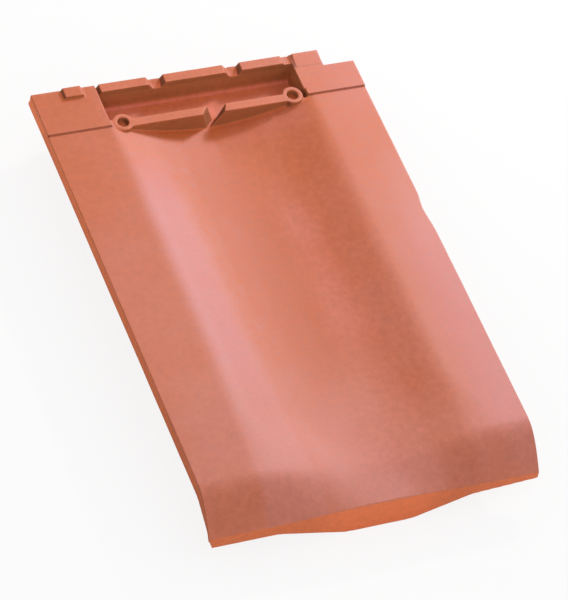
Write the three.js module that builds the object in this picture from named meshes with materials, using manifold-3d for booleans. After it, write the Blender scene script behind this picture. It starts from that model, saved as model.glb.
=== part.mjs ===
// Large pressed clay roof tile with one broad water trough, in millimetres.
// X runs across the tile, +Y points up the roof slope to the head, +Z is up.
// The origin lies on the ground under the middle of the tile, which rests on its nibs and foot lip.

import * as THREE from 'three';
import { LoftGeometry } from 'three/addons/geometries/LoftGeometry.js';
import { mergeVertices } from 'three/addons/utils/BufferGeometryUtils.js';
import Module from 'manifold-3d';

const wasm = await Module();
wasm.setup();
const { lerp, clamp, degToRad, smoothstep } = THREE.MathUtils;

// ---- driving dimensions ----

const tileLength = 420;
const tileWidth = 276.8;
const mouldShift = 0.9; // trough, bosses and nibs sit right of the middle by this
const wall = 11.5; // fired body, measured upright
const footHang = 51.5; // from the top of the margins down to the lowest edge of the foot

const troughDepth = 19;
const troughHalf = 82; // middle of the trough to the top of its flank
const troughCentre = 2; // the trough sits a little right of the bosses' middle
const floorHalf = 44; // middle of the trough to the foot of its flank
const floorDish = 3.7; // how much of the depth lies in the dished floor
const upperRound = 10; // half length of the rounding at the top of a flank
const lowerRound = 12; // half length of the rounding at the foot of a flank

const ribWiden = 4; // near the rib the trough is wider by this at each side,
const ribSharpen = 6; // its upper rounding is shorter by this,
const ribDish = 2.5; // and its floor is deeper dished by this
const ribVee = 0.6; // and this far on from a dish to a plain V
const ribBlend = 60; // length over which it changes
const footNarrow = 7; // near the foot the floor is narrower by this,
const footDish = 1; // its dish is deeper by this,
const footShift = 3; // the trough runs off to the right by this,
const footSoften = 12; // and its upper rounding is longer by this
const footBlend = 60; // length over which it changes

const bendLength = 38; // the margins turn down over this length at the foot,
const bendRound = 16; // first easing into the turn over this length
const bendAngle = 31; // degrees where the easing ends
const footDrop = 23; // how far the margins turn down
const lipLength = 13; // thickness of the foot lip along the slope
const lipLeftInset = 5.3; // its left lower corner stops short of the side face by this
const lipRightInset = 0.3; // and its right one by this
const lipEndLean = 0.3; // towards its back the lip stops shorter by this share of the way
const lipCornerRise = 1.5; // rounding of its lower corners
const lipCornerIn = 0.2;
const lipCentre = 8; // middle of the stretch of lip that fills the trough of the tile below
const lipFloorHalf = 28;
const lipLeftHalf = 86; // from there to where the lip meets the margins
const lipRightHalf = 75;
const lipRound = 5;
const lipBack = 0.8; // run of the lip's back face
const lipLeftDepth = 35; // lip edge below the margins, at the left,
const lipRightDepth = 34; // right of the trough,
const lipEndDepth = 30.5; // and at the right hand end

const edgeHeight = 9.5; // side face of the tile
const edgeTurnLength = 31; // over this length its lower edge runs down to the corner of the foot lip
const edgeStripWidth = 13; // along each side edge the tile is no thicker than its side face
const edgeStripLean = 1; // the step down from there leans by this
const underWiden = 2; // the trough's underside is wider than its top by this at each side
const ledgeOut = 0.3; // parting ledge left by the press
const ledgeIn = 0.2; // the face above it leans in by this
const ledgeShare = 0.35; // height of the ledge against the face
const arrisRound = 1;

const headLap = 43; // length of the head that the next tile covers
const lapRise = 1.2; // the lapped margins stand this much higher
const lapLean = 0.4; // the step up to them leans back by this
const channelHalf = 84.5;
const channelFront = 37; // from the head edge to the channel's lower wall
const channelFillet = 4; // where the rim rises out of the channel
const boxGap = 7.5; // from the flat box below the channel to the strips along the side edges
const boxFlank = 10;
const boxRound = 6;
const boxAhead = 5; // the box is whole this far ahead of the rib
const boxBlend = 18;

const rimWidth = 8.5; // baffle along the head edge
const rimDraft = 1.5; // slope of its front wall over the whole height
const gapBack = -2; // top of the rim between its teeth, against the margins, at the head edge
const gapFront = -4.5; // and at the channel
const toothRise = 2; // top of the teeth above the margins
const toothSlope = 6; // length of the easy right hand end of a tooth
const toothSteep = 3; // length of the steep left hand end
const teeth = [[-81.5, -41], [-26.5, 26], [40.5, 77]]; // left and right end of each tooth's top
const leftTooth = { left: -113, right: -98, length: 10, rise: 3, steep: 1, slope: 3 };
const rightTooth = { left: 87, right: 110.5, length: 15, rise: 1.4 };
const rightCutBack = 15.5; // the right margin stops short of the head edge by this

const ribWidth = 8; // baffle between the channel and the trough
const ribTop = -0.5; // against the margins
const bossRadius = 8.7;
const bossSpacing = 147.5;
const bossFromHead = 39.4;
const nailMouth = 4.7; // radius of a blind nail hole at its mouth
const nailEnd = 4; // and at its bottom
const nailDepth = 5.6;
const nailDome = 1; // the bottom rises to its middle by this
const leftWeb = { from: -88, length: 8 }; // joins the left boss to its margin
const rightSlit = { left: 82, right: 86, length: 7, depth: 7 }; // parts the right boss from its own

// The drain through the rib: left top edge, lowest point, right top edge, at the trough and at the channel.
// The shoulder says how its right side runs up: straight at 0.5, and more upright at first above that.
const drainFront = { left: -4.5, low: 3, right: 12, shoulder: 0.65 };
const drainBack = { left: 0.5, low: 9, right: 15.5, shoulder: 0.97 };
const drainRound = 0.15; // share of the left side that is rounded off at the lowest point
const drainSill = 0.3; // the lowest point stands this much above the channel's floor

const nibSpacing = 112;
const nibWidth = 30;
const nibThick = 17;
const nibTaper = 3;
const nibFromHead = 33; // from the head edge to the face that hooks on the batten

const coverRibInset = 40; // water stop rib under each margin, from the side face
const coverRibWidth = 8;
const coverRibHeight = 5;
const coverRibTaper = 1;
const coverRibStop = 10; // it ends this far short of the lapped head

// ---- values that follow ----

const marginTop = footHang; // the lowest edge touches the ground
// Until the tile is done, X runs from the middle of the press mould.
const leftEdge = -tileWidth / 2 - mouldShift;
const rightEdge = tileWidth / 2 - mouldShift;
const head = tileLength / 2;
const foot = -head;
const bendStart = foot + bendLength;
const lipEnd = foot + lipLength;
const lapStart = head - headLap;
const channelStart = head - channelFront;
const ribStart = channelStart - ribWidth;
const boxStart = ribStart - boxAhead;
const channelFloor = marginTop - troughDepth;
const curveSteps = 5;
const roundSides = 32;
const stationGap = 4; // least distance between two stretches of sections
const overlap = 1; // pieces that are joined run into each other by this
const clear = 20; // cutters stand this far out of what they cut

// ---- solids ----

function solidOf(geometry) {
  const bare = new THREE.BufferGeometry().copy(geometry);
  bare.deleteAttribute('normal');
  bare.deleteAttribute('uv');
  const merged = mergeVertices(bare, 1e-4);
  return new wasm.Manifold(
    new wasm.Mesh({
      numProp: 3,
      vertProperties: new Float32Array(merged.attributes.position.array),
      triVerts: new Uint32Array(merged.index.array),
    }),
  );
}

function geometryOf(solid) {
  const mesh = solid.getMesh();
  const geometry = new THREE.BufferGeometry();
  geometry.setAttribute('position', new THREE.BufferAttribute(mesh.vertProperties, 3));
  geometry.setIndex(new THREE.BufferAttribute(mesh.triVerts, 1));
  geometry.computeVertexNormals();
  return geometry;
}

function outline(points) {
  return new THREE.Shape(points.map(([u, v]) => new THREE.Vector2(u, v)));
}

function extrude(shape, depth) {
  return new THREE.ExtrudeGeometry(shape, { depth, bevelEnabled: false, curveSegments: curveSteps });
}

// An outline in X and Z, drawn out along Y from yStart to yEnd.
function alongSlope(shape, yStart, yEnd) {
  const geometry = extrude(shape, yEnd - yStart);
  geometry.rotateX(Math.PI / 2);
  geometry.translate(0, yEnd, 0);
  return solidOf(geometry);
}

// An outline in Y and Z, drawn out along X from xStart to xEnd.
function acrossTile(shape, xStart, xEnd) {
  const geometry = extrude(shape, xEnd - xStart);
  geometry.rotateZ(Math.PI / 2);
  geometry.rotateY(Math.PI / 2);
  geometry.translate(xStart, 0, 0);
  return solidOf(geometry);
}

function upright(radius, x, y, zLow, zHigh) {
  const geometry = new THREE.CylinderGeometry(radius, radius, zHigh - zLow, roundSides);
  geometry.rotateX(Math.PI / 2);
  geometry.translate(x, y, (zLow + zHigh) / 2);
  return solidOf(geometry);
}

function block(x, y, z) {
  const geometry = new THREE.BoxGeometry(x[1] - x[0], y[1] - y[0], z[1] - z[0]);
  geometry.translate((x[0] + x[1]) / 2, (y[0] + y[1]) / 2, (z[0] + z[1]) / 2);
  return solidOf(geometry);
}

// ---- body: one section lofted from the foot to the head ----

function blend(y, from, to) {
  return smoothstep(y, from, to);
}

// How far the margins have turned down at y: they ease into a slope that then grows to the foot.
function marginDrop(y) {
  const slope = Math.tan(degToRad(bendAngle));
  const easing = clamp(bendStart - y, 0, bendRound);
  const beyond = Math.max(0, bendStart - y - bendRound);
  const rest = bendLength - bendRound;
  const growth = (footDrop - slope * (bendRound / 2 + rest)) / rest ** 2;
  return (slope * easing ** 2) / (2 * bendRound) + slope * beyond + growth * beyond ** 2;
}

// The trough is a dish between straight flanks, all but a V at the rib and rounder at the foot.
function trough(y) {
  const atRib = blend(y, ribStart - ribBlend, ribStart);
  const atFoot = 1 - blend(y, bendStart, bendStart + footBlend);
  return {
    centre: troughCentre + footShift * atFoot,
    half: troughHalf + ribWiden * atRib,
    floorHalf: floorHalf - footNarrow * atFoot,
    edgeZ: marginTop - marginDrop(y),
    floorZ: channelFloor,
    dish: floorDish + ribDish * atRib + footDish * atFoot,
    vee: ribVee * atRib,
    upperRound: upperRound - ribSharpen * atRib + footSoften * atFoot,
    lowerRound,
  };
}

// The underside follows the trough, and widens to a flat box below the channel.
function under(y) {
  const form = trough(y);
  const box = blend(y, boxStart - boxBlend, boxStart);
  const boxHalf = rightEdge - edgeStripWidth - edgeStripLean - boxGap - upperRound - form.centre;
  const half = lerp(form.half + underWiden, boxHalf, box);
  return {
    ...form,
    half,
    floorHalf: lerp(form.floorHalf + underWiden, half - boxFlank, box),
    edgeZ: form.edgeZ - wall,
    floorZ: form.floorZ - wall,
    dish: form.dish * (1 - box),
    vee: form.vee * (1 - box),
    upperRound,
    lowerRound: lerp(lowerRound, boxRound, box),
  };
}

// The lip closes the gap to the tile below: along its lower edge it follows that tile's trough.
function lip(side) {
  return {
    centre: lipCentre,
    half: side < 0 ? lipLeftHalf : lipRightHalf,
    floorHalf: lipFloorHalf,
    edgeZ: marginTop - (side < 0 ? lipLeftDepth : lipRightDepth),
    floorZ: 0,
    dish: 0,
    vee: 0,
    upperRound: lipRound,
    lowerRound: lipRound,
  };
}

// One side of a trough, from the outer end of its flank to the middle, or back out again.
// Where the margins turn down past its floor the whole form is squashed, and stands up instead.
function troughSide(path, form, side) {
  const dish = (form.dish * (form.edgeZ - form.floorZ)) / troughDepth;
  const flankFoot = form.floorZ + dish;
  const flank = new THREE.Vector2(form.half - form.floorHalf, form.edgeZ - flankFoot).normalize();
  const inner = form.floorHalf - form.lowerRound;
  const innerZ = form.floorZ + dish * (inner / form.floorHalf) ** (2 - form.vee);
  const flankTop = [form.half - form.upperRound * flank.x, form.edgeZ - form.upperRound * flank.y];
  const flankLow = [form.floorHalf + form.lowerRound * flank.x, flankFoot + form.lowerRound * flank.y];
  const corners = [
    [form.half + form.upperRound, form.edgeZ],
    [form.half, form.edgeZ],
    flankTop,
    [(flankTop[0] + flankLow[0]) / 2, (flankTop[1] + flankLow[1]) / 2],
    flankLow,
    [form.floorHalf, flankFoot],
    [inner, innerZ],
    [inner / 2, lerp(form.floorZ, innerZ, form.vee / 2)],
    [0, form.floorZ],
  ];
  const at = corners.map(([x, z]) => [form.centre + side * x, z]);
  const order = side < 0 ? at : at.reverse();
  if (side < 0) path.lineTo(...order[0]);
  for (let i = 1; i < order.length; i += 2) path.quadraticCurveTo(...order[i], ...order[i + 1]);
}

// The lower edge of a side face, which runs down and in to the corner of the lip at the foot.
function edgeLow(side, y) {
  const share = Math.max(0, foot + edgeTurnLength - y) / edgeTurnLength;
  const [inset, depth] = side < 0 ? [lipLeftInset, lipLeftDepth] : [lipRightInset, lipEndDepth];
  const lean = share * (inset - lipCornerIn);
  const out = side < 0 ? leftEdge - ledgeOut : rightEdge + ledgeOut;
  return { x: out - side * lean, z: marginTop - lerp(edgeHeight, depth - lipCornerRise, share), lean };
}

// The parting ledge on a side face, from its upper to its lower end.
function ledgeOn(side, low, top) {
  const z = lerp(low.z, top, ledgeShare);
  const x = (side < 0 ? leftEdge : rightEdge) - side * low.lean * (1 - ledgeShare);
  return [[x - side * ledgeIn, z], [x + side * ledgeOut, z - ledgeOut / 2]];
}

// Two points inside a side face: the inner end of the strip along it, or the corner of the foot lip.
function edgeStrip(side, low, endZ) {
  const inner = (side < 0 ? leftEdge : rightEdge) - side * edgeStripWidth;
  return [[inner, low.z], [inner - side * edgeStripLean, endZ]];
}

function lipCorner(side, y, low, endZ) {
  const short = (side < 0 ? lipLeftInset : lipRightInset) + lipEndLean * (y - foot);
  const corner = low.x + side * (low.lean - short);
  return [[(low.x + corner) / 2, (low.z + endZ) / 2], [corner, endZ]];
}

function section(y) {
  const atLip = y <= lipEnd;
  const top = marginTop - marginDrop(y);
  const [leftLow, rightLow] = [-1, 1].map((side) => edgeLow(side, y));
  const leftLedge = ledgeOn(-1, leftLow, top);
  const rightLedge = ledgeOn(1, rightLow, top);
  const sideUnder = [-1, 1].map((side) => (atLip ? lip(side) : under(y)));
  const endZ = [sideUnder[0].edgeZ, atLip ? marginTop - lipEndDepth : sideUnder[1].edgeZ];
  const leftInside = atLip ? lipCorner(-1, y, leftLow, endZ[0]) : edgeStrip(-1, leftLow, endZ[0]);
  const rightInside = atLip ? lipCorner(1, y, rightLow, endZ[1]) : edgeStrip(1, rightLow, endZ[1]);

  const above = new THREE.Path();
  above.moveTo(leftEdge, top - arrisRound);
  above.quadraticCurveTo(leftEdge, top, leftEdge + arrisRound, top);
  for (const side of [-1, 1]) troughSide(above, trough(y), side);
  above.lineTo(rightEdge - arrisRound, top);
  above.quadraticCurveTo(rightEdge, top, rightEdge, top - arrisRound);
  for (const [x, z] of rightLedge) above.lineTo(x, z);
  above.lineTo(rightLow.x, rightLow.z);
  above.lineTo(...rightInside[0]);

  const below = new THREE.Path();
  below.moveTo(leftLow.x, leftLow.z);
  for (const [x, z] of leftInside) below.lineTo(x, z);
  troughSide(below, sideUnder[0], -1);
  troughSide(below, sideUnder[1], 1);
  below.lineTo(...rightInside[1]);

  const ring = [...above.getPoints(curveSteps), ...below.getPoints(curveSteps).reverse()];
  for (const point of leftLedge.reverse()) ring.push(new THREE.Vector2(...point));
  return ring.map((p) => new THREE.Vector3(p.x, y, p.y));
}

function evenly(from, to, count) {
  return Array.from({ length: count }, (_, i) => lerp(from, to, i / (count - 1)));
}

// Where the sections stand: each stretch with its two ends and how many sections it has.
function stations() {
  return [
    ...evenly(foot, lipEnd, 4),
    ...evenly(lipEnd + lipBack, bendStart - bendRound, 3),
    ...evenly(bendStart - bendRound + stationGap, bendStart, 5),
    ...evenly(bendStart + stationGap, bendStart + footBlend, 8),
    ...evenly(bendStart + footBlend + stationGap, ribStart - ribBlend, 5),
    ...evenly(ribStart - ribBlend + stationGap, boxStart - boxBlend, 4),
    ...evenly(boxStart - boxBlend + stationGap, boxStart, 5),
    ribStart,
    head,
  ];
}

function body() {
  return solidOf(new LoftGeometry(stations().map(section), { capStart: true, capEnd: true }));
}

// ---- head ----

function lapPad(left, right) {
  const low = marginTop - overlap;
  const high = marginTop + lapRise;
  return acrossTile(outline([[lapStart, low], [head, low], [head, high], [lapStart + lapLean, high]]), left, right);
}

function channel() {
  return block([-channelHalf, channelHalf], [channelStart, head + overlap], [channelFloor, marginTop + clear]);
}

function rim() {
  const front = head - rimWidth;
  const base = front - rimDraft;
  const onWall = base + (rimDraft * channelFillet) / (troughDepth + gapFront);
  const low = channelFloor - overlap;
  const shape = new THREE.Shape();
  shape.moveTo(base - channelFillet, low);
  shape.lineTo(base - channelFillet, channelFloor);
  shape.quadraticCurveTo(base, channelFloor, onWall, channelFloor + channelFillet);
  shape.lineTo(front, marginTop + gapFront);
  shape.lineTo(head, marginTop + gapBack);
  shape.lineTo(head, low);
  return acrossTile(shape, -channelHalf - overlap, channelHalf + overlap);
}

// The teeth of the rim: steep on the left, sloping off on the right.
function tooth(left, right) {
  const low = marginTop + gapFront - overlap;
  const high = marginTop + toothRise;
  const shape = outline([[left - toothSteep, low], [right + toothSlope, low], [right, high], [left, high]]);
  return alongSlope(shape, head - rimWidth, head);
}

// Level with the margins, the rim runs out past the last tooth to the channel's right hand end.
function rimEnd() {
  const from = teeth.at(-1)[1];
  return block([from, channelHalf + overlap], [head - rimWidth, head], [marginTop + gapFront, marginTop]);
}

function leftBlock() {
  const { left, right, length, rise, steep, slope } = leftTooth;
  const high = marginTop + lapRise + rise;
  const shape = outline([[left - steep, marginTop], [right + slope, marginTop], [right, high], [left, high]]);
  return alongSlope(shape, head - length, head);
}

function rightBlock() {
  const start = head - rightTooth.length;
  const pad = marginTop + lapRise;
  const shape = outline([[start, marginTop], [head, marginTop], [head, pad + rightTooth.rise], [start, pad]]);
  return acrossTile(shape, rightTooth.left, rightTooth.right);
}

function rightCut() {
  return block([rightTooth.right, rightEdge + clear], [head - rightCutBack, head + overlap], [0, footHang + clear]);
}

function rib() {
  const reach = bossSpacing / 2;
  return block([-reach, reach], [ribStart, channelStart], [channelFloor - overlap, marginTop + ribTop]);
}

function bossWeb() {
  const middle = head - bossFromHead;
  const x = [leftWeb.from, -bossSpacing / 2];
  const y = [middle - leftWeb.length / 2, middle + leftWeb.length / 2];
  return block(x, y, [channelFloor - overlap, marginTop + ribTop]);
}

function bossSlit() {
  const y = [channelStart + overlap - rightSlit.length, channelStart + overlap];
  return block([rightSlit.left, rightSlit.right], y, [marginTop - rightSlit.depth, marginTop + clear]);
}

function drainSection(y, { left, low, right, shoulder }) {
  const top = marginTop + ribTop;
  const sill = channelFloor + drainSill;
  const path = new THREE.Path();
  path.moveTo(left, top + clear);
  path.lineTo(left, top);
  path.lineTo(lerp(low, left, drainRound), lerp(sill, top, drainRound));
  path.quadraticCurveTo(lerp(low, left, drainRound / 2), sill, low, sill);
  path.quadraticCurveTo(lerp(right, low, shoulder), lerp(sill, top, shoulder), right, top);
  path.lineTo(right, top + clear);
  return path.getPoints(curveSteps).map((p) => new THREE.Vector3(p.x, y, p.y));
}

function drain() {
  const run = ribWidth + 2 * overlap;
  const past = overlap / ribWidth;
  const at = (share) => {
    const mixed = {};
    for (const key of Object.keys(drainFront)) mixed[key] = lerp(drainFront[key], drainBack[key], share);
    return mixed;
  };
  const front = drainSection(ribStart - overlap, at(-past));
  const back = drainSection(ribStart - overlap + run, at(1 + past));
  return solidOf(new LoftGeometry([back, front], { capStart: true, capEnd: true }));
}

function boss(side) {
  const low = channelFloor - overlap;
  return upright(bossRadius, (side * bossSpacing) / 2, head - bossFromHead, low, marginTop + ribTop);
}

// A blind hole that is knocked through where a nail is needed.
function nailHole(side) {
  const profile = new THREE.Path();
  profile.moveTo(0, nailDome - nailDepth);
  profile.quadraticCurveTo(nailEnd / 2, nailDome - nailDepth, nailEnd, -nailDepth);
  profile.lineTo(nailMouth, 0);
  profile.lineTo(nailMouth, clear);
  profile.lineTo(0, clear);
  const geometry = new THREE.LatheGeometry(profile.getPoints(curveSteps), roundSides);
  geometry.rotateX(Math.PI / 2);
  geometry.translate((side * bossSpacing) / 2, head - bossFromHead, marginTop + ribTop);
  return solidOf(geometry);
}

// ---- underside ----

function nib(side) {
  const middle = (side * nibSpacing) / 2;
  const near = head - nibFromHead;
  const far = near + nibThick;
  const root = channelFloor - wall + overlap;
  const shape = outline([[near, root], [near, 0], [far - nibTaper, 0], [far, root]]);
  return acrossTile(shape, middle - nibWidth / 2, middle + nibWidth / 2);
}

function coverRib(side) {
  const x = (side < 0 ? leftEdge : rightEdge) - side * coverRibInset;
  const half = coverRibWidth / 2;
  const root = marginTop - wall + overlap;
  const low = marginTop - wall - coverRibHeight;
  const lowHalf = half - coverRibTaper;
  const shape = outline([[x - half, root], [x - lowHalf, low], [x + lowHalf, low], [x + half, root]]);
  return alongSlope(shape, bendStart, lapStart - coverRibStop);
}

// ---- the tile ----

function tileSolid() {
  let tile = body();
  for (const side of [-1, 1]) tile = tile.add(nib(side)).add(coverRib(side));
  tile = tile.add(lapPad(leftEdge, -channelHalf)).add(lapPad(channelHalf, rightEdge));
  tile = tile.subtract(channel()).add(rim()).add(rimEnd());
  for (const [left, right] of teeth) tile = tile.add(tooth(left, right));
  tile = tile.add(leftBlock()).add(rightBlock()).subtract(rightCut());
  tile = tile.add(rib()).add(bossWeb()).subtract(bossSlit());
  for (const side of [-1, 1]) tile = tile.add(boss(side)).subtract(nailHole(side));
  return tile.subtract(drain()).translate([mouldShift, 0, 0]);
}

const terracotta = new THREE.MeshStandardMaterial({ color: 0xc8745a, roughness: 0.88, metalness: 0 });

const tile = new THREE.Mesh(geometryOf(tileSolid()), terracotta);
tile.name = 'tile';

const roofTile = new THREE.Group();
roofTile.add(tile);

export default roofTile;
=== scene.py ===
import math

import bpy
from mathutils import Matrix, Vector


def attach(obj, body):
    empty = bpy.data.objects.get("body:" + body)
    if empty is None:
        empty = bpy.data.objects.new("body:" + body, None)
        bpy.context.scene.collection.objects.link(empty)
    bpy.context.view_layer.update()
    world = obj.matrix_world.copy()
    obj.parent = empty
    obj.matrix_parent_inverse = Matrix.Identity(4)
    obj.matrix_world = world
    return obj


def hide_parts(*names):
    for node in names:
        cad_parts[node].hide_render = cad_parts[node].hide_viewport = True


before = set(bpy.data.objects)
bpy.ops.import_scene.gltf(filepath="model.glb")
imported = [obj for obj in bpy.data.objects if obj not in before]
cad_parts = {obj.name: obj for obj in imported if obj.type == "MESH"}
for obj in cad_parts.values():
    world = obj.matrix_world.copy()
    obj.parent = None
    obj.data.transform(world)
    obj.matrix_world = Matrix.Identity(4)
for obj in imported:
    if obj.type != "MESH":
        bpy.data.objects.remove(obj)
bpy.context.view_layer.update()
print("frame loaded:", ", ".join(sorted(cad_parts)))


def makeActive(piece):
    bpy.ops.object.select_all(action="DESELECT")
    piece.select_set(True)
    bpy.context.view_layer.objects.active = piece


def applyModifier(piece, kind, **settings):
    makeActive(piece)
    modifier = piece.modifiers.new(kind.lower(), kind)
    for name, value in settings.items():
        setattr(modifier, name, value)
    bpy.ops.object.modifier_apply(modifier=modifier.name)


def newMaterial(name):
    material = bpy.data.materials.new(name)
    material.use_nodes = True
    tree = material.node_tree
    tree.nodes.clear()
    return material, tree


def addNode(tree, kind, inputs=None, **settings):
    node = tree.nodes.new(kind)
    for name, value in settings.items():
        setattr(node, name, value)
    for name, value in (inputs or {}).items():
        if isinstance(value, bpy.types.NodeSocket):
            tree.links.new(value, node.inputs[name])
        else:
            node.inputs[name].default_value = value
    return node


def calculate(tree, operation, first, second):
    return addNode(tree, "ShaderNodeMath", {0: first, 1: second}, operation=operation).outputs[0]


def times(tree, first, second):
    return calculate(tree, "MULTIPLY", first, second)


def plus(tree, first, second):
    return calculate(tree, "ADD", first, second)


# carries a value from one range to another, held at both ends
def mapped(tree, value, start, end, low, high):
    inputs = {"Value": value, "From Min": start, "From Max": end, "To Min": low, "To Max": high}
    return addNode(tree, "ShaderNodeMapRange", inputs).outputs["Result"]


# eases from 0 at the start to 1 at the end
def rise(tree, value, start, end):
    inputs = {"Value": value, "From Min": start, "From Max": end}
    return addNode(tree, "ShaderNodeMapRange", inputs, interpolation_type="SMOOTHSTEP").outputs["Result"]


def mixed(tree, share, first, second):
    inputs = {"Factor": share, "A": first, "B": second}
    return addNode(tree, "ShaderNodeMix", inputs, data_type="RGBA").outputs["Result"]


def noise(tree, place, scale, detail, rough):
    inputs = {"Vector": place, "Scale": scale, "Detail": detail, "Roughness": rough}
    return addNode(tree, "ShaderNodeTexNoise", inputs).outputs["Fac"]


cameraValues = {
    "place": (-1.12073, -1.56239, 2.31019),  # metres
    "turn": (38.5064, -11.8570, -21.3875),   # degrees
    "lens": 242.015,                         # millimetres
    "sensor": 36.0,
    "shift": (-0.0007, -0.0005),
}


def makeCamera(values):
    turn = [math.radians(angle) for angle in values["turn"]]
    bpy.ops.object.camera_add(location=values["place"], rotation=turn)
    camera = bpy.context.object
    camera.name = "camera"
    camera.data.sensor_fit = "HORIZONTAL"
    camera.data.sensor_width = values["sensor"]
    camera.data.lens = values["lens"]
    camera.data.shift_x, camera.data.shift_y = values["shift"]
    bpy.context.scene.camera = camera


makeCamera(cameraValues)
print("camera set")


lightValues = {
    "towards": (0.68, 0.45, 0.58),  # from the rib to the lamps
    "rib": (0.0009, 0.165, 0.04),   # metres
    "away": 1.15,
    "keySize": 0.10,
    "keyPower": 4.9,                # watts
    "sheenSize": 0.30,
    "sheenPower": 40.0,
    "tint": (1.0, 0.985, 0.97),
    "worldLevel": 0.775,
}


def addLamp(name, values, size, power):
    towards = Vector(values["towards"]).normalized()
    place = Vector(values["rib"]) + towards * values["away"]
    bpy.ops.object.light_add(type="AREA", location=place)
    lamp = bpy.context.object
    lamp.name = name
    lamp.rotation_euler = towards.to_track_quat("Z", "Y").to_euler()
    lamp.data.shape = "DISK"
    lamp.data.size = size
    lamp.data.energy = power
    lamp.data.color = values["tint"]
    lamp.visible_camera = False
    return lamp


def makeLamps(values):
    # one lamp gives the light and its shadow, the other the soft sheen that rough clay has towards a lamp
    key = addLamp("keyLamp", values, values["keySize"], values["keyPower"])
    key.visible_glossy = False
    sheen = addLamp("sheenLamp", values, values["sheenSize"], values["sheenPower"])
    sheen.visible_diffuse = False


def makeWorld(values):
    world = bpy.data.worlds.new("studio")
    bpy.context.scene.world = world
    world.use_nodes = True
    tree = world.node_tree
    tree.nodes.clear()
    path = addNode(tree, "ShaderNodeLightPath")
    seen = calculate(tree, "MAXIMUM", path.outputs["Is Camera Ray"], path.outputs["Is Glossy Ray"])
    seen = calculate(tree, "MAXIMUM", seen, path.outputs["Is Transmission Ray"])
    level = mapped(tree, seen, 0.0, 1.0, values["worldLevel"], 1.0)
    light = addNode(tree, "ShaderNodeBackground", {"Color": (1.0, 1.0, 1.0, 1.0), "Strength": level})
    addNode(tree, "ShaderNodeOutputWorld", {"Surface": light.outputs[0]})
    bpy.context.scene.view_settings.view_transform = "Standard"


makeLamps(lightValues)
makeWorld(lightValues)
print("lamps and world set")


floorValues = {
    "size": 8.0,
    "colour": (0.93, 0.93, 0.93, 1.0),
    "glow": 0.85,  # share of plain white in what the camera sees of the floor
}


def makeFloor(values):
    bpy.ops.mesh.primitive_plane_add(size=values["size"], location=(0, 0, 0))
    floor = bpy.context.object
    floor.name = "floor"
    material, tree = newMaterial("palePaper")
    paper = addNode(tree, "ShaderNodeBsdfDiffuse", {"Color": values["colour"]})
    white = addNode(tree, "ShaderNodeEmission", {"Color": (1.0, 1.0, 1.0, 1.0), "Strength": 1.0})
    path = addNode(tree, "ShaderNodeLightPath")
    share = times(tree, path.outputs["Is Camera Ray"], values["glow"])
    both = addNode(tree, "ShaderNodeMixShader", {0: share, 1: paper.outputs[0], 2: white.outputs[0]})
    addNode(tree, "ShaderNodeOutputMaterial", {"Surface": both.outputs[0]})
    floor.data.materials.append(material)


makeFloor(floorValues)
print("floor laid")


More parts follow.
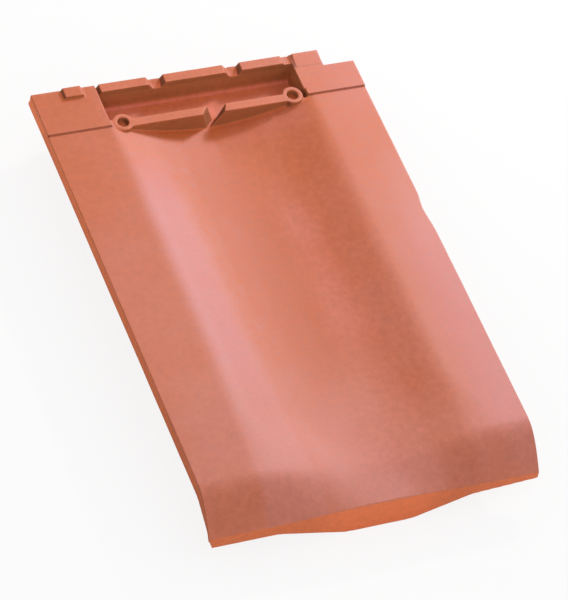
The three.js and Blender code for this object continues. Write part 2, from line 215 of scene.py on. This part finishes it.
# Lengths are in metres. A patch adds its amount where all its ramps have risen, and each ramp rises
# along one axis from its first value to its second: X, Y, Z, or how far the face looks right or up.
clayValues = {
    "orange": (0.600, 0.140, 0.042, 1.0),     # the body of the clay
    "rose": (0.640, 0.212, 0.146, 1.0),       # pinker tone of the upper faces, partly the clay's own and partly painted sheen
    "roseAll": 0.08,
    "roseSwings": {"clouds": 0.7, "blotches": 0.35},
    # on the left flank and the right edge this rose is painted sheen
    "rosePatches": {
        "lowerHalf": (0.30, (("Y", 0.130, 0.020),)),
        "foot": (0.42, (("Y", -0.060, -0.180),)),
        "leftFlankSheen": (0.60, (("X", -0.094, -0.074), ("X", -0.036, -0.052), ("Y", 0.125, 0.085))),
        "upperFloor": (-0.30, (("X", -0.052, -0.034), ("X", 0.045, 0.015), ("Y", -0.110, -0.030))),
        "rightEdgeSheen": (0.35, (("X", 0.110, 0.132), ("Y", 0.140, 0.060))),
        "ribRight": (-0.80, (("Y", 0.160, 0.164), ("Y", 0.180, 0.176), ("X", 0.000, 0.030))),
        "rightMarginTop": (-0.20, (("X", 0.085, 0.095), ("Y", 0.080, 0.120), ("Y", 0.165, 0.155))),
        "rightFlankFoot": (-0.20, (("X", 0.050, 0.065), ("X", 0.095, 0.085), ("Y", -0.060, -0.120))),
        "leftLap": (-0.15, (("X", -0.085, -0.095), ("Y", 0.160, 0.175))),
        "leftMarginFoot": (-0.12, (("X", -0.085, -0.095), ("Y", -0.080, -0.140))),
        "floorMiddle": (-0.15, (("X", -0.020, 0.000), ("X", 0.045, 0.025),
                                ("Y", 0.090, 0.050), ("Y", -0.120, -0.080))),
    },
    "violet": (0.660, 0.235, 0.270, 1.0),     # cooler tone: painted sheen on the upper faces, and a tint painted into the shade of the channel and under the rib
    "violetPatches": {
        # painted sheen on the left flank, the right margin and the right lap
        "leftFlankSheen": (0.26, (("X", -0.088, -0.074), ("X", -0.044, -0.058),
                             ("Y", 0.150, 0.110), ("Y", -0.120, -0.060))),
        "rightMarginSheen": (0.24, (("X", 0.095, 0.118), ("Y", 0.060, -0.030), ("Y", -0.190, -0.160))),
        "rightLapSheen": (0.12, (("X", 0.095, 0.118), ("Y", 0.130, 0.160))),
        # a cool tint painted into the shade in the channel and under the rib, and along the lit line at
        # the channel's corner
        "channel": (0.07, (("Y", 0.174, 0.178), ("Z", 0.0490, 0.0470))),
        "channelCornerHighlight": (0.14, (("Y", 0.1965, 0.1975), ("Y", 0.1997, 0.1987), ("Z", 0.0375, 0.0360))),
        "ribShadowTint": (0.08, (("Y", 0.136, 0.150), ("Y", 0.165, 0.163),
                            ("X", 0.000, 0.020), ("Z", 0.0510, 0.0480))),
        "floorRight": (0.06, (("X", 0.015, 0.030), ("X", 0.060, 0.045),
                              ("Y", 0.090, 0.050), ("Y", -0.080, -0.040))),
    },
    # darker patches, most of them painted shade, and with a negative amount lighter ones, most of them
    # painted light
    "shadeAndLightPatches": {
        # painted shade on the foot bend, the right flank and the left margin's bend, which turn from the
        # lamps; the middle of the floor a little darker
        "footBendShade": (0.09, (("Y", -0.168, -0.188),)),
        "rightFlankShade": (0.05, (("X", 0.054, 0.068), ("X", 0.094, 0.080))),
        "leftMarginFoot": (0.05, (("X", -0.085, -0.095), ("Y", -0.080, -0.140), ("Y", -0.190, -0.172))),
        "floorMiddle": (0.035, (("X", -0.020, 0.000), ("X", 0.045, 0.025),
                                ("Y", 0.090, 0.050), ("Y", -0.120, -0.080))),
        # painted shade on the faces turned to the left, away from the lamps, more towards the foot, and a
        # darker band at the top of the left side face
        "leftSideShade": (0.16, (("right", -0.50, -0.85),)),
        "leftSideFootShade": (0.14, (("right", -0.50, -0.85), ("Y", 0.110, -0.110))),
        "leftArris": (0.30, (("right", -0.12, -0.35), ("right", -0.85, -0.60), ("X", -0.134, -0.136))),
        # painted shade on the left ends of the teeth and blocks at the head and on the right block's left
        # side, and a painted shadow line along its front
        "toothEndShade": (0.40, (("right", -0.25, -0.65), ("X", -0.130, -0.120),
                             ("X", 0.079, 0.070), ("Y", 0.150, 0.160))),
        "rightBlockSideShade": (0.45, (("X", 0.0853, 0.0859), ("X", 0.0886, 0.0880),
                                  ("Y", 0.1955, 0.1970), ("Z", 0.0510, 0.0518))),
        "rightBlockShadow": (0.14, (("X", 0.0870, 0.0880), ("X", 0.1116, 0.1106), ("Y", 0.1952, 0.1960),
                                   ("Y", 0.1974, 0.1966), ("Z", 0.0510, 0.0518))),
        # painted light on the upper left flank, which faces the lamps
        "leftFlankTopLight": (-0.05, (("X", -0.088, -0.074), ("X", -0.044, -0.058), ("Y", 0.100, 0.120))),
        "floorRight": (-0.05, (("X", 0.015, 0.030), ("X", 0.060, 0.045),
                               ("Y", 0.090, 0.050), ("Y", -0.080, -0.040))),
        # painted light in the shaded channel, along the foot of the rib and along the channel's corner,
        # and a painted shadow line at the lap step
        "channel": (-0.16, (("Y", 0.174, 0.178), ("Z", 0.0490, 0.0470), ("up", -0.6, -0.2))),
        "ribFootHighlight": (-0.10, (("Y", 0.1625, 0.1640), ("Y", 0.1665, 0.1655),
                            ("up", 0.25, 0.55), ("Z", 0.0510, 0.0500))),
        "channelCornerHighlight": (-0.12, (("Y", 0.1965, 0.1975), ("Y", 0.1997, 0.1987),
                                  ("Z", 0.0375, 0.0360), ("up", -0.6, -0.2))),
        "lapStepShade": (0.40, (("Y", 0.1660, 0.1666), ("Y", 0.1685, 0.1679), ("Z", 0.0510, 0.0513))),
        # painted light in the shaded drain and on the foot face
        "drain": (-0.22, (("X", 0.001, 0.003), ("X", 0.016, 0.012), ("Y", 0.1655, 0.1665),
                          ("Y", 0.190, 0.182), ("Z", 0.0420, 0.0380), ("up", -0.6, -0.2))),
        "footFaceLight": (-0.14, (("X", -0.060, -0.020), ("X", 0.065, 0.030),
                             ("Y", -0.2090, -0.2095), ("up", 0.55, 0.25))),
    },
    "wall": (0.790, 0.195, 0.070, 1.0),       # upright faces and the underside: more orange, and brightened as painted light
    "wallSteep": (0.25, 0.80),                # how far a face looks up, from a wall to an upper face
    "headWallShade": (0.420, 0.147, 0.057, 1.0),  # darker, browner walls in the head: painted shade
    "headShadePatches": {
        "channelWalls": (1.0, (("Y", 0.150, 0.160), ("Y", 0.2094, 0.2086), ("X", -0.088, -0.086),
                               ("X", 0.090, 0.088), ("Z", 0.0310, 0.0325))),
        "headBlocks": (1.0, (("Y", 0.160, 0.165), ("Y", 0.2094, 0.2086), ("X", -0.1375, -0.1365),
                             ("X", 0.1375, 0.1365), ("Z", 0.0508, 0.0514))),
    },
    "reach": 0.0025,                          # how near an arris or a corner shows
    "reachSamples": 8,
    "wearAndHighlight": (0.700, 0.220, 0.120, 1.0),       # lighter arrises: painted highlight, with some wear
    "arrisRange": (0.94, 0.70),                # openness on the inner side
    "arrisShare": 0.45,
    "arrisBlotches": (0.35, 0.60),             # the blotches break the lighter arrises up,
    "arrisLevels": (0.3, 1.0),                 # from little of it to all
    "cornerShade": (0.260, 0.060, 0.020, 1.0),    # painted shade in inner corners
    "creviceRange": (0.93, 0.62),             # openness on the outer side
    "creviceShare": 0.45,
    "noises": {                               # scale in waves per metre, detail and roughness
        "clouds": (14.0, 2.0, 0.55),
        "blotches": (48.0, 3.0, 0.55),
        "mottle": (190.0, 4.0, 0.55),
        "grain": (1500.0, 3.0, 0.7),
        "dents": (60.0, 2.0, 0.55),
    },
    "noiseMiddle": 0.5,
    "noiseEnds": (0.3, 0.7),
    "toneSwings": {"mottle": 0.07, "grain": 0.10},
    "spots": {
        "grit": {                             # pale grains
            "scale": 420.0,                   # cells per metre
            "size": (0.17, 0.05),             # shares of a cell
            "chance": (0.62, 0.90),           # the cells above this share have one
            "tone": (0.78, 0.34, 0.23, 1.0),
            "share": 0.35,
        },
        "pores": {                            # small dark holes
            "scale": 360.0,
            "size": (0.16, 0.04),
            "chance": (0.80, 0.95),
            "tone": (0.34, 0.080, 0.030, 1.0),
            "share": 0.45,
        },
    },
    "roughness": (0.57, 0.63),
    "specular": 0.20,
    "sheenTint": (1.0, 0.74, 0.94, 1.0),
    "dentDepth": 0.00002,
    "grainDepth": 0.00007,
    "poreDepth": 0.00012,
}


def addPatches(tree, share, axes, patches):
    for amount, ramps in patches.values():
        patch = amount
        for axis, start, end in ramps:
            patch = times(tree, rise(tree, axes[axis], start, end), patch)
        share = plus(tree, share, patch)
    return share


# 1 on open faces, less near an inner corner, or near an arris when looked at from within the clay
def openness(tree, values, inside):
    return addNode(tree, "ShaderNodeAmbientOcclusion", {"Distance": values["reach"]},
                   samples=values["reachSamples"], inside=inside, only_local=True).outputs["AO"]


# small round spots in some cells of a scattering
def spots(tree, place, scale, size, chance):
    cells = addNode(tree, "ShaderNodeTexVoronoi", {"Vector": place, "Scale": scale, "Randomness": 1.0})
    pick = addNode(tree, "ShaderNodeSeparateColor", {"Color": cells.outputs["Color"]})
    return times(tree, rise(tree, cells.outputs["Distance"], *size), rise(tree, pick.outputs[0], *chance))


# what the tones and the bump are made of
def clayFields(tree, place, values):
    fields = {"outside": openness(tree, values, False), "inside": openness(tree, values, True)}
    for name, kind in values["noises"].items():
        fields[name] = noise(tree, place, *kind)
    for name, kind in values["spots"].items():
        fields[name] = spots(tree, place, kind["scale"], kind["size"], kind["chance"])
    return fields


# how far the rose tone, partly painted sheen, reaches at each place
def roseShare(tree, axes, fields, values):
    share = values["roseAll"]
    for name, amount in values["roseSwings"].items():
        swing = plus(tree, fields[name], -values["noiseMiddle"])
        share = plus(tree, times(tree, swing, amount), share)
    return addPatches(tree, share, axes, values["rosePatches"])


# the clay's tone on each face, with the brighter wall tone painted on the upright faces and painted shade
# on the head's walls, before the arris highlight, the corner shade and the spots
def faceTone(tree, axes, fields, values):
    tone = mixed(tree, roseShare(tree, axes, fields, values), values["orange"], values["rose"])
    tone = mixed(tree, addPatches(tree, 0.0, axes, values["violetPatches"]), tone, values["violet"])
    inner = addPatches(tree, 0.0, axes, values["headShadePatches"])
    wall = mixed(tree, inner, values["wall"], values["headWallShade"])
    return mixed(tree, rise(tree, axes["up"], *values["wallSteep"]), wall, tone)


# lighter arrises as painted highlight with some wear, painted shade in inner corners, then the pale grit
# and the dark pores
def addEdgeLightShadeAndSpots(tree, tone, fields, values):
    wearAndHighlight = times(tree, rise(tree, fields["inside"], *values["arrisRange"]), values["arrisShare"])
    broken = mapped(tree, fields["blotches"], *values["arrisBlotches"], *values["arrisLevels"])
    tone = mixed(tree, times(tree, wearAndHighlight, broken), tone, values["wearAndHighlight"])
    cornerShade = times(tree, rise(tree, fields["outside"], *values["creviceRange"]), values["creviceShare"])
    tone = mixed(tree, cornerShade, tone, values["cornerShade"])
    for name, kind in values["spots"].items():
        tone = mixed(tree, times(tree, fields[name], kind["share"]), tone, kind["tone"])
    return tone


# a factor near 1 that is lower on the painted shade, higher on the painted light, and follows the finer
# noises
def toneLevel(tree, axes, fields, values):
    level = calculate(tree, "SUBTRACT", 1.0, addPatches(tree, 0.0, axes, values["shadeAndLightPatches"]))
    for name, amount in values["toneSwings"].items():
        swing = mapped(tree, fields[name], *values["noiseEnds"], 1.0 - amount, 1.0 + amount)
        level = times(tree, level, swing)
    return level


def clayBump(tree, fields, values):
    bump = addNode(tree, "ShaderNodeBump", {"Height": fields["dents"], "Distance": values["dentDepth"]})
    grain = {"Height": fields["grain"], "Distance": values["grainDepth"], "Normal": bump.outputs[0]}
    bump = addNode(tree, "ShaderNodeBump", grain)
    pores = {"Height": fields["pores"], "Distance": values["poreDepth"], "Normal": bump.outputs[0]}
    bump = addNode(tree, "ShaderNodeBump", pores, invert=True)
    return bump.outputs[0]


def makeClay(values):
    material, tree = newMaterial("firedClay")
    where = addNode(tree, "ShaderNodeTexCoord")
    place = where.outputs["Object"]
    at = addNode(tree, "ShaderNodeSeparateXYZ", {"Vector": place}).outputs
    facing = addNode(tree, "ShaderNodeSeparateXYZ", {"Vector": where.outputs["Normal"]}).outputs
    axes = {"X": at["X"], "Y": at["Y"], "Z": at["Z"], "right": facing["X"], "up": facing["Z"]}
    fields = clayFields(tree, place, values)
    tone = addEdgeLightShadeAndSpots(tree, faceTone(tree, axes, fields, values), fields, values)
    level = toneLevel(tree, axes, fields, values)
    colour = addNode(tree, "ShaderNodeVectorMath", {0: tone, "Scale": level}, operation="SCALE").outputs[0]
    surface = addNode(tree, "ShaderNodeBsdfPrincipled", {
        "Base Color": colour,
        "Roughness": mapped(tree, fields["mottle"], *values["noiseEnds"], *values["roughness"]),
        "Normal": clayBump(tree, fields, values),
        "Specular IOR Level": values["specular"],
        "Specular Tint": values["sheenTint"],
    })
    addNode(tree, "ShaderNodeOutputMaterial", {"Surface": surface.outputs[0]})
    return material


clay = makeClay(clayValues)
print("clay mixed")


tileValues = {
    "weld": 0.00001,                            # metres
    "drain": {
        "along": (0.164, 0.174),                # from the trough to the channel
        "up": (0.0328, 0.0512),
        "low": ((-0.0003, 0.0028), (0.0098, 0.0122)),   # left and right at the trough, then at the channel
        "high": ((-0.0070, 0.0125), (0.0014, 0.0168)),
    },
    "voxel": 0.00065,
    "smoothFactor": 0.5,
    "smoothPasses": 4,
    "evenPasses": 60,                           # more smoothing on the broad upper faces
    "evenArea": ((-0.1335, 0.1345), (-0.200, 0.158)),   # along X and Y
    "evenFade": 0.004,                          # it comes in over this length,
    "evenSteps": 4,                             # in this many steps
    "evenFacing": 0.45,                         # on faces that look up at least this far
    "hollow": {
        "inner": 0.120,                         # worn from here out
        "outer": 0.138,                         # to the side edge
        "middle": 0.038,                        # along the tile
        "steep": 0.017,                         # its length towards the head
        "easy": 0.026,                          # and towards the foot
        "depth": 0.0018,
    },
    "waveSize": 0.045,                          # unevenness of the pressed faces
    "waveDepth": 0.0003,
    "triangles": 190000,
}


# the broad faces lose the small steps left by the remeshing, the arrises keep their shape
def evenOut(tile, values):
    group = tile.vertex_groups.new(name="broadFaces")
    area = values["evenArea"]
    steps = values["evenSteps"]
    shares = [[] for step in range(steps + 1)]
    for vertex in tile.data.vertices:
        if vertex.normal.z < values["evenFacing"]:
            continue
        inside = min(min(place - low, high - place) for place, (low, high) in zip(vertex.co, area))
        share = min(max(inside / values["evenFade"], 0.0), 1.0)
        shares[round(share * steps)].append(vertex.index)
    for step in range(1, steps + 1):
        group.add(shares[step], step / steps, "REPLACE")
    applyModifier(tile, "SMOOTH", factor=values["smoothFactor"], iterations=values["evenPasses"],
                  vertex_group=group.name)


# a shallow length of the right side edge is worn back, more suddenly towards the head
def wearEdge(tile, hollow):
    for vertex in tile.data.vertices:
        out = (vertex.co.x - hollow["inner"]) / (hollow["outer"] - hollow["inner"])
        along = vertex.co.y - hollow["middle"]
        reach = hollow["steep"] if along > 0.0 else hollow["easy"]
        near = 1.0 - abs(along) / reach
        if out > 0.0 and near > 0.0:
            vertex.co.x -= hollow["depth"] * out * out * near * near * (3.0 - 2.0 * near)


# the drain through the rib gets a narrow flat bottom and straight sides, cut by a cube whose corners
# are moved to those of the drain
def carveDrain(tile, drain):
    bpy.ops.mesh.primitive_cube_add(location=(0, 0, 0))
    cutter = bpy.context.object
    for corner in cutter.data.vertices:
        side, end, level = (int(place > 0.0) for place in corner.co)
        across = drain["high" if level else "low"][end][side]
        corner.co = (across, drain["along"][end], drain["up"][level])
    applyModifier(tile, "BOOLEAN", operation="DIFFERENCE", solver="EXACT", object=cutter)
    bpy.data.objects.remove(cutter, do_unlink=True)


# the pressed faces lie a little inside the solid's, here more and there less
def addWaves(tile, values):
    waves = bpy.data.textures.new("waves", "CLOUDS")
    waves.noise_scale = values["waveSize"]
    applyModifier(tile, "DISPLACE", texture=waves, strength=values["waveDepth"], mid_level=1.0)


def copySolid(node, name, weld):
    piece = bpy.data.objects.new(name, node.data.copy())
    bpy.context.scene.collection.objects.link(piece)
    makeActive(piece)
    bpy.ops.object.mode_set(mode="EDIT")
    bpy.ops.mesh.select_all(action="SELECT")
    bpy.ops.mesh.remove_doubles(threshold=weld)
    bpy.ops.object.mode_set(mode="OBJECT")
    return piece


def makeTile(values):
    tile = copySolid(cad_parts["tile"], "clayTile", values["weld"])
    carveDrain(tile, values["drain"])
    applyModifier(tile, "REMESH", mode="VOXEL", voxel_size=values["voxel"], adaptivity=0.0)
    applyModifier(tile, "SMOOTH", factor=values["smoothFactor"], iterations=values["smoothPasses"])
    print("remeshed to", len(tile.data.polygons), "faces")
    evenOut(tile, values)
    wearEdge(tile, values["hollow"])
    addWaves(tile, values)
    share = values["triangles"] / (2 * len(tile.data.polygons))  # each face is two triangles
    applyModifier(tile, "DECIMATE", decimate_type="COLLAPSE", ratio=share)
    bpy.ops.object.shade_smooth()
    tile.data.materials.clear()
    tile.data.materials.append(clay)
    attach(tile, "root")
    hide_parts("tile")
    return tile


tile = makeTile(tileValues)
print("tile made:", len(tile.data.polygons), "faces")
